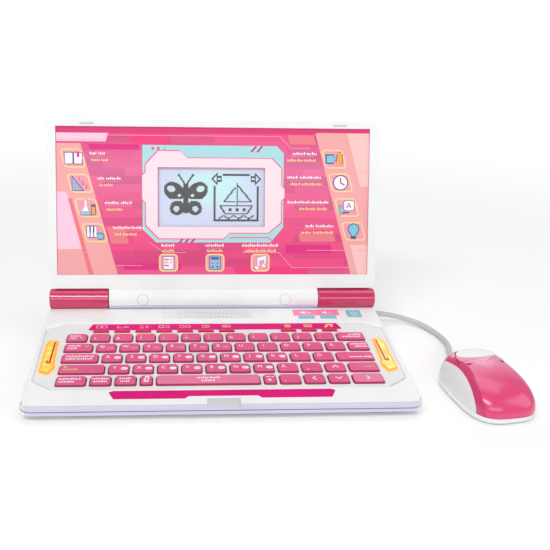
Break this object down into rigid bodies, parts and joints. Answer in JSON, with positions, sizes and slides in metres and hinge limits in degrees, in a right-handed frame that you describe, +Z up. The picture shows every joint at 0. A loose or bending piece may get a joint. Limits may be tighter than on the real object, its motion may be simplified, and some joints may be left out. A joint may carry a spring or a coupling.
{
  "type": "toy laptop computer",
  "caption": "Open clamshell toy laptop with a full keyboard, a small display in its lid, side lamps and a corded mouse.",
  "frame": {"origin": "on the table, in the middle of the footprint of the open laptop and its mouse, without the lead", "axes": "+X to the right along the hinge, towards the mouse; +Y back from the user; +Z up"},
  "size_m": [0.388, 0.2296, 0.1862],
  "materials": {
    "white_shell": "smooth white moulding with a soft gloss",
    "key_pink": "satin pink moulding with white print",
    "key_pale_pink": "satin pale pink moulding",
    "magenta": "glossy printed strip",
    "pale_pink_label": "printed label",
    "crimson": "glossy crimson moulding",
    "barrel_pink": "glossy hot pink moulding",
    "cyan": "glossy cyan moulding",
    "amber_lens": "translucent amber moulding",
    "rod": "dark amber moulding",
    "led": "clear diode on a small board",
    "board": "green circuit board",
    "steel": "plated steel",
    "bush": "plain bearing bush",
    "rubber_grey": "soft rubber",
    "pad_rubber": "silicone keypad rubber",
    "lead_grey": "light grey flexible sheath",
    "grey_plastic": "light grey moulding",
    "face_print": "printed pink faceplate",
    "clear_window": "clear display window",
    "lcd": "pale blue liquid-crystal display",
    "cell": "plain wrapped cell",
    "speaker_black": "black speaker",
    "mouse_pink": "glossy pink moulding"
  },
  "bodies": {
    "base": {"bottom_case": "white_shell", "top_case": "white_shell", "speaker_grille": "white_shell", "keyboard_plate": "white_shell", "keypad_sheet": "pad_rubber", "main_board": "board", "speaker": "speaker_black", "battery_door": "white_shell", "battery_door_screw": "steel", "batteries": "cell", "battery_contacts": "steel", "rubber_feet": "rubber_grey", "case_screws": "steel", "lamp_lens_left": "amber_lens", "lamp_lens_right": "amber_lens", "lamp_rods": "rod", "lamp_leds": "led", "category_label": "magenta", "front_label": "magenta", "function_label": "pale_pink_label", "hinge_barrel_left": "barrel_pink", "hinge_barrel_right": "barrel_pink", "hinge_pins": "steel", "lead_gland": "lead_grey", "mouse_lead": "lead_grey"},
    "lid": {"lid_bezel": "white_shell", "lid_cover": "white_shell", "faceplate": "face_print", "lcd_window": "clear_window", "lcd_glass": "lcd", "lcd_board": "board", "hinge_bushes": "bush", "lid_screws": "steel", "hinge_screw_plugs": "grey_plastic", "lid_bumpers": "grey_plastic"},
    "mouse": {"mouse_base": "white_shell", "mouse_shell": "mouse_pink", "mouse_side_left": "grey_plastic", "mouse_side_right": "grey_plastic", "mouse_board": "board", "mouse_feet": "rubber_grey", "mouse_screw": "steel", "mouse_gland": "lead_grey"},
    "mouse_click_cap": {"mouse_button": "mouse_pink", "mouse_oval": "white_shell"},
    "keys_row1_body": {"keys_row1": "key_pink"},
    "keys_row2_body": {"keys_row2": "key_pink"},
    "keys_row3_body": {"keys_row3": "key_pink"},
    "keys_row4_body": {"keys_row4": "key_pink"},
    "keys_row5_body": {"keys_row5": "key_pink"},
    "space_bar_body": {"space_bar": "key_pale_pink"},
    "enter_key_body": {"enter_key": "key_pink"},
    "up_key_body": {"up_key": "key_pink"},
    "left_key_body": {"left_key": "key_pale_pink"},
    "down_key_body": {"down_key": "key_pale_pink"},
    "right_key_body": {"right_key": "key_pale_pink"},
    "category_buttons_body": {"category_buttons": "crimson"},
    "volume_down_button_body": {"volume_down_button": "cyan"},
    "volume_up_button_body": {"volume_up_button": "cyan"},
    "power_button_body": {"power_button": "cyan"}
  },
  "joints": [
    {"name": "lid_hinge", "type": "hinge", "parent": "base", "child": "lid", "pos_m": [-0.044, 0.05997, 0.02894], "axis": [1, 0, 0], "range_deg": [-20, 110.1]},
    {"name": "mouse_slide", "type": "slide", "parent": "base", "child": "mouse", "axis": [0.1392, -0.9903, 0], "range_m": [0, 0.04]},
    {"name": "mouse_click", "type": "slide", "parent": "mouse", "child": "mouse_click_cap", "axis": [0, 0, -1], "range_m": [0, 0.0006], "stiffness_N_per_m": 900, "springref_m": -0.0004},
    {"name": "keys_row1_press", "type": "slide", "parent": "base", "child": "keys_row1_body", "axis": [0, 0.061, -0.9981], "range_m": [0, 0.0012], "stiffness_N_per_m": 1500, "springref_m": -0.0004, "deforming": ["keypad_sheet"]},
    {"name": "keys_row2_press", "type": "slide", "parent": "base", "child": "keys_row2_body", "axis": [0, 0.061, -0.9981], "range_m": [0, 0.0012], "stiffness_N_per_m": 1500, "springref_m": -0.0004, "deforming": ["keypad_sheet"]},
    {"name": "keys_row3_press", "type": "slide", "parent": "base", "child": "keys_row3_body", "axis": [0, 0.061, -0.9981], "range_m": [0, 0.0012], "stiffness_N_per_m": 1500, "springref_m": -0.0004, "deforming": ["keypad_sheet"]},
    {"name": "keys_row4_press", "type": "slide", "parent": "base", "child": "keys_row4_body", "axis": [0, 0.061, -0.9981], "range_m": [0, 0.0012], "stiffness_N_per_m": 1500, "springref_m": -0.0004, "deforming": ["keypad_sheet"]},
    {"name": "keys_row5_press", "type": "slide", "parent": "base", "child": "keys_row5_body", "axis": [0, 0.061, -0.9981], "range_m": [0, 0.0012], "stiffness_N_per_m": 1500, "springref_m": -0.0004, "deforming": ["keypad_sheet"]},
    {"name": "space_bar_press", "type": "slide", "parent": "base", "child": "space_bar_body", "axis": [0, 0.061, -0.9981], "range_m": [0, 0.0012], "stiffness_N_per_m": 1500, "springref_m": -0.0004, "deforming": ["keypad_sheet"]},
    {"name": "enter_key_press", "type": "slide", "parent": "base", "child": "enter_key_body", "axis": [0, 0.061, -0.9981], "range_m": [0, 0.0012], "stiffness_N_per_m": 700, "springref_m": -0.0004, "deforming": ["keypad_sheet"]},
    {"name": "up_key_press", "type": "slide", "parent": "base", "child": "up_key_body", "axis": [0, 0.061, -0.9981], "range_m": [0, 0.0012], "stiffness_N_per_m": 700, "springref_m": -0.0004, "deforming": ["keypad_sheet"]},
    {"name": "left_key_press", "type": "slide", "parent": "base", "child": "left_key_body", "axis": [0, 0.061, -0.9981], "range_m": [0, 0.0012], "stiffness_N_per_m": 700, "springref_m": -0.0004, "deforming": ["keypad_sheet"]},
    {"name": "down_key_press", "type": "slide", "parent": "base", "child": "down_key_body", "axis": [0, 0.061, -0.9981], "range_m": [0, 0.0012], "stiffness_N_per_m": 700, "springref_m": -0.0004, "deforming": ["keypad_sheet"]},
    {"name": "right_key_press", "type": "slide", "parent": "base", "child": "right_key_body", "axis": [0, 0.061, -0.9981], "range_m": [0, 0.0012], "stiffness_N_per_m": 700, "springref_m": -0.0004, "deforming": ["keypad_sheet"]},
    {"name": "category_buttons_press", "type": "slide", "parent": "base", "child": "category_buttons_body", "axis": [0, 0.061, -0.9981], "range_m": [0, 0.001], "stiffness_N_per_m": 1500, "springref_m": -0.0004, "deforming": ["keypad_sheet"]},
    {"name": "volume_down_button_press", "type": "slide", "parent": "base", "child": "volume_down_button_body", "axis": [0, 0.061, -0.9981], "range_m": [0, 0.0008], "stiffness_N_per_m": 700, "springref_m": -0.0004, "deforming": ["keypad_sheet"]},
    {"name": "volume_up_button_press", "type": "slide", "parent": "base", "child": "volume_up_button_body", "axis": [0, 0.061, -0.9981], "range_m": [0, 0.0008], "stiffness_N_per_m": 700, "springref_m": -0.0004, "deforming": ["keypad_sheet"]},
    {"name": "power_button_press", "type": "slide", "parent": "base", "child": "power_button_body", "axis": [0, 0.061, -0.9981], "range_m": [0, 0.0008], "stiffness_N_per_m": 700, "springref_m": -0.0004, "deforming": ["keypad_sheet"]}
  ]
}
